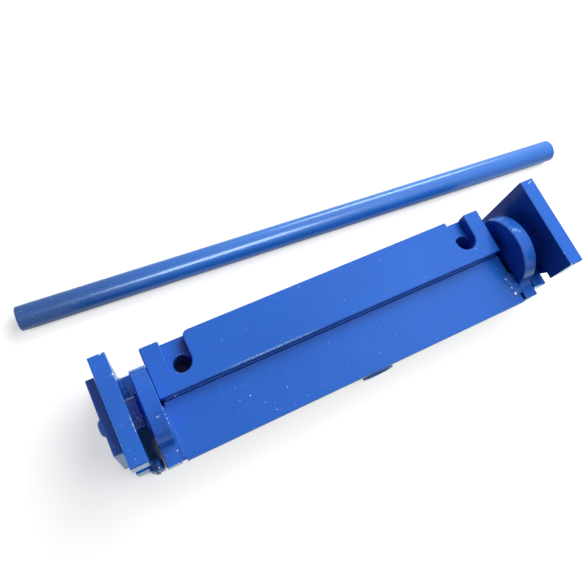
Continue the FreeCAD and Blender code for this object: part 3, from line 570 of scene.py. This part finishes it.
def make_end_welds():
    """Fillet welds across the flat bar's ends, against the end plates, and their spatter."""
    rng = random.Random(12)
    bm = bmesh.new()
    low, high = corners_of("end_weld_beads")
    seam = low.z
    for side in (-1, 1):
        face = high.x if side > 0 else low.x
        x, z = face - side * FILLET_OFF_SEAM, seam + FILLET_OFF_SEAM
        weld_run(bm, (x, low.y + RUN_INSET, z), (x, high.y - RUN_INSET, z), (-side, 0, 1),
                 FILLET_BEAD, rng)
        spatter(bm, (x - 9 * MM, low.y, 0), (x, high.y, 0), seam, count=10, size=0.5 * MM, rng=rng)
    weld_piece("end_fillet_welds", "end_weld_beads", bm)


# Drops of the keeper weld, off the left post's top front edge: place, size and seed

KEEPER_DROPS = (
    ((0.2, 3.6, -1.0), (3.6, 4.6, 5.4), 3.0),
    ((1.0, 0.6, -6.0), (2.6, 2.2, 7.0), 8.0),
    ((-1.6, -0.2, -14.0), (2.4, 1.8, 8.0), 5.0),
)


def make_keeper_welds():
    """Upright welds on the keeper posts; the left one ends in a big glossy drop."""
    rng = random.Random(13)
    bm = bmesh.new()
    low, high = corners_of("keeper_weld_beads")
    left_low, left_high = corners_of("keeper_post_left")
    _, right_high = corners_of("keeper_post_right")
    foot, top = low.z + 1.8 * MM, high.z - 1.6 * MM
    plate_front = low.y + POST_BEAD_REACH
    runs = ((left_low.x - POST_BEAD_OFF, plate_front - POST_BEAD_OFF, (-1, -1, 0)),
            (right_high.x - POST_BEAD_OFF, right_high.y + POST_BEAD_OFF, (-1, 1, 0)))
    for x, y, up in runs:
        weld_run(bm, (x, y, foot), (x, y, top), up, POST_BEAD, rng)
    post_edge = ((left_low.x + left_high.x) / 2.0, left_low.y, left_high.z)
    for off, size, seed in KEEPER_DROPS:
        drop(bm, post_edge, off, size, seed)
    weld_piece("keeper_welds", "keeper_weld_beads", bm)


# Drops that run together into the heavy bead, off its middle: place, size and seed

HEAVY_DROPS = (
    ((0.0, 0.0, -0.3), (5.2, 9.8, 1.5), 21.0),
    ((1.6, 4.5, 0.0), (3.6, 5.0, 1.5), 24.0),
    ((2.4, -3.0, -0.2), (2.8, 7.0, 1.6), 27.0),
)


def make_apron_end_welds():
    """Left: flush fill with a thin dotted bead up to the disc. Right: short heavy bead."""
    rng = random.Random(14)
    bm = bmesh.new()
    low, high = corners_of("apron_end_welds")
    plate_low, plate_high = corners_of("apron_plate")
    flat = plate_high.z
    dotted_x, dotted_front = low.x + 0.5 * MM, HEAVY_BACK - 8 * MM
    weld_run(bm, (dotted_x, high.y - 0.5 * MM, flat), (dotted_x, dotted_front, flat),
             (0.5, 0, 1), DOTTED_BEAD, rng, gap=1.1)
    fill_x, fill_z = low.x + 1.5 * MM, flat - FILL_DEPTH
    weld_run(bm, (fill_x, high.y - 3.2 * MM, fill_z), (fill_x, low.y + 2.8 * MM, fill_z),
             (0, 0, 1), FILL_BEAD, rng, gap=0.2, uneven=0.04)
    heavy_middle = (high.x - 4.4 * MM, HEAVY_BACK - HEAVY_LENGTH / 2.0, flat)
    for off, size, seed in HEAVY_DROPS:
        drop(bm, heavy_middle, off, size, seed)
    seam_x = high.x - 1.5 * MM
    weld_run(bm, (seam_x, high.y, RIGHT_SEAM_Z), (seam_x, low.y, RIGHT_SEAM_Z),
             (0, 0, 1), SEAM_BEAD, rng)
    for x, y, z, reach in BRIGHT_BALLS:
        ball(bm, Vector((x, y, z - reach)) * MM, reach * MM, subdivisions=3)
    spatter(bm, (plate_low.x + 2 * MM, low.y, 0), (plate_low.x + 26 * MM, high.y - 12 * MM, 0),
            flat, count=12, size=0.32 * MM, rng=rng)
    spatter(bm, (plate_low.x + 1 * MM, plate_low.y + 0.6 * MM, 0),
            (plate_low.x + 16 * MM, plate_low.y + 3.5 * MM, 0), flat, count=7, size=0.55 * MM, rng=rng)
    weld_piece("apron_end_beads", "apron_end_welds", bm)


def make_pin_welds():
    """Ring welds where the pivot pins meet the cheeks, with spatter on the pins."""
    rng = random.Random(15)
    bm = bmesh.new()
    pin_low, pin_high = corners_of("pivot_pin_right")
    radius = (pin_high.z - pin_low.z) / 2.0
    axis_y = (pin_high.y + pin_low.y) / 2.0
    for side in (-1, 1):
        face = side * pin_low.x
        weld_ring(bm, (face + side * RING_OFF, axis_y, 0), radius + RING_OFF, (side, 0, 0),
                  RING_BEAD, rng)
        for _ in range(16):
            angle = rng.uniform(0.15, 0.85) * math.pi
            spot = Vector((face + side * rng.uniform(2.5, 7.5) * MM,
                           axis_y - radius * math.cos(angle), radius * math.sin(angle)))
            ball(bm, spot, rng.uniform(0.25, 0.7) * MM)
    weld_piece("pin_ring_welds", "pin_weld_rings", bm)


def make_socket_welds():
    """Two beads along the handle socket, under the apron."""
    rng = random.Random(16)
    bm = bmesh.new()
    low, high = corners_of("socket_weld_beads")
    z = high.z - 2.0 * MM
    for side in (-1, 1):
        x = (high.x if side > 0 else low.x) - side * 2.2 * MM
        weld_run(bm, (x, low.y + 1.5 * MM, z), (x, high.y - 1.5 * MM, z), (side, 0, -0.6),
                 SOCKET_BEAD, rng)
    weld_piece("socket_fillet_welds", "socket_weld_beads", bm)


WELD_MAKERS = {
    "bed_weld_beads": make_bed_welds,
    "end_weld_beads": make_end_welds,
    "keeper_weld_beads": make_keeper_welds,
    "apron_end_welds": make_apron_end_welds,
    "pin_weld_rings": make_pin_welds,
    "socket_weld_beads": make_socket_welds,
}


# Table: its own glow keeps it white in the open and fades in deep corners

TABLE_Z = cad_box[0][2]
TABLE_HALF_WIDTH = 4.0
TABLE_CORNER_REACH = 0.045
TABLE_GLOW = 0.60
PAINTED_BOUNCE_STRENGTH = 0.04

# Where the table's shading starts and ends: Y behind the bed, then distance from the middle

BEHIND_BED = (0.016, 0.030)
MIRROR_FADE = (0.22, 0.55)
GLOW_GROWTH = (0.45, 1.6)


def table_material():
    """Pale and glowing where it is seen, dull to the light that goes on to other things."""
    material = new_material("pale_table")
    g = Graph(material.node_tree)
    path = g.node("ShaderNodeLightPath")
    mirrored = path.outputs["Is Glossy Ray"]
    corner = g.openness(TABLE_CORNER_REACH, samples=32)
    openness = g.step(corner, 0.20, 0.48)
    away = g.vector_math("LENGTH", g.place)
    _, y, _ = g.axes()
    shaded = g.times(g.step(y, *BEHIND_BED), g.step(corner, 0.45, 0.85, 0.85, 0.0))
    fade = g.times(mirrored, g.largest(shaded, g.step(away, *MIRROR_FADE, 0.0, 0.80)))

    table = g.mix(fade, g.mix(mirrored, PALE_TABLE, MIRRORED_TABLE), SHADED_TABLE)
    # Painted shade: the table's colour darkens in deep corners, by how shut in each point is
    matt = g.node("ShaderNodeBsdfDiffuse", {"Color": g.mix(openness, PAINTED_SHADE_TABLE, table)})
    strength = g.times(g.step(away, *GLOW_GROWTH, TABLE_GLOW, 1.0), g.minus(1.0, fade))
    # Painted light: the deepest corners glow faint navy, standing for light bounced off the blue paint
    glow = g.node("ShaderNodeEmission", {
        "Color": g.mix(g.step(openness, 0.0, 0.08), PAINTED_BOUNCE_GLOW, g.mix(mirrored, WHITE, MIRRORED_GLOW)),
        "Strength": g.largest(g.times(openness, strength), PAINTED_BOUNCE_STRENGTH)})
    lit = g.node("ShaderNodeAddShader", {0: matt.outputs[0], 1: glow.outputs[0]})
    dull = g.node("ShaderNodeBsdfDiffuse", {"Color": DULL_TABLE})
    g.node("ShaderNodeOutputMaterial", {
        "Surface": g.mix_shaders(g.seen(path), dull.outputs[0], lit.outputs[0])})
    return material


def make_table():
    bm = bmesh.new()
    bmesh.ops.create_grid(bm, x_segments=1, y_segments=1, size=TABLE_HALF_WIDTH,
                          matrix=Matrix.Translation((0, 0, TABLE_Z)))
    mesh = bpy.data.meshes.new("table_top")
    bm.to_mesh(mesh)
    bm.free()
    mesh.materials.append(table_material())
    link("table_top", mesh)


# Light and camera

def make_sky():
    """Soft room light: bright low down, dim overhead, brighter from the right and back."""
    world = bpy.data.worlds.new("studio")
    bpy.context.scene.world = world
    world.use_nodes = True
    world.node_tree.nodes.clear()
    g = Graph(world.node_tree, "Generated")
    x, y, z = g.axes()
    low = g.step(z, 0.15, 0.85, 1.20, 0.28)
    right = g.step(x, -0.30, 0.85, 0.02, 1.35)
    back = g.step(y, -0.9, 0.6, 0.40, 1.10)
    light = g.node("ShaderNodeBackground", {"Color": ROOM_LIGHT, "Strength": g.times(low, right, back)})
    white = g.node("ShaderNodeBackground", {"Color": WHITE, "Strength": 1.0})
    path = g.node("ShaderNodeLightPath")
    g.node("ShaderNodeOutputWorld", {
        "Surface": g.mix_shaders(g.seen(path), light.outputs[0], white.outputs[0])})


def area_light(name, place, aim, width, depth, watts):
    """A rectangular lamp turned towards a point."""
    data = bpy.data.lights.new(name, "AREA")
    data.shape = "RECTANGLE"
    data.size = width
    data.size_y = depth
    data.energy = watts
    lamp = link(name, data)
    lamp.location = place
    lamp.rotation_euler = (Vector(aim) - Vector(place)).to_track_quat("-Z", "Y").to_euler()
    return lamp


def soft_lamp(name, **facts):
    """A soft lamp that lights the paint but shows in no reflection."""
    lamp = area_light(name, **facts)
    lamp.visible_glossy = False
    return lamp


def strip_lamp(name, **facts):
    """A long lamp seen only as a bright line in the gloss of the pieces that mirror it."""
    lamp = area_light(name, **facts)
    lamp.visible_diffuse = False
    lamp.data.color = STRIP_LIGHT
    return lamp


def shine_only_on(lamp, nodes):
    """Keep a lamp's light to the named pieces of the machine."""
    pieces = bpy.data.collections.new(lamp.name + "_reaches")
    for node in nodes:
        pieces.objects.link(bpy.data.objects[node + "_painted"])
    lamp.light_linking.receiver_collection = pieces


def make_lamps():
    """Two softboxes for all, a weak fill for the left end, and two strips in the bar's gloss."""
    soft_lamp("window_softbox", place=(0.52, 0.45, 0.72), aim=(0.04, 0, 0),
              width=0.8, depth=0.8, watts=9.6)
    soft_lamp("front_softbox", place=(0.40, -0.25, 0.85), aim=(0.04, 0, 0),
              width=0.7, depth=0.7, watts=5.0)
    left_fill = soft_lamp("left_softbox", place=(-1.0, -0.10, 0.20), aim=(-0.18, 0, 0),
                          width=0.7, depth=0.3, watts=3.4)
    shine_only_on(left_fill, ("end_plate_left", "retaining_plate_left", "retaining_screws",
                              "keeper_post_left", "handle_bar"))
    ceiling_strip = strip_lamp("ceiling_strip", place=(0.16, -0.26, 1.27), aim=(0.02, 0.075, 0),
                               width=0.56, depth=0.45, watts=15.5)
    back_strip = strip_lamp("back_strip", place=(0.80, 1.23, 0.615), aim=(0.1, 0.07, -0.02),
                            width=0.62, depth=0.45, watts=12.0)
    for strip in (ceiling_strip, back_strip):
        shine_only_on(strip, ("handle_bar",))


def make_camera():
    """The photograph's viewpoint."""
    data = bpy.data.cameras.new("photo_view")
    data.sensor_fit = "HORIZONTAL"
    data.sensor_width = SENSOR_WIDTH
    data.lens = SENSOR_WIDTH * FOCAL_PIXELS / PHOTO_WIDTH
    data.clip_start = 0.01
    data.clip_end = 20.0
    camera = link("photo_view", data)
    turn = Euler([math.radians(angle) for angle in CAMERA_TURN])
    camera.matrix_world = Matrix.LocRotScale(Vector(CAMERA_PLACE), turn, None)
    bpy.context.scene.camera = camera


for node in sorted(BODY_OF):
    if node in WELD_MAKERS:
        WELD_MAKERS[node]()
    else:
        painted(node, OWN_ENAMEL.get(node, ENAMEL))

make_table()
make_sky()
make_lamps()
make_camera()
bpy.context.scene.view_settings.view_transform = "Standard"
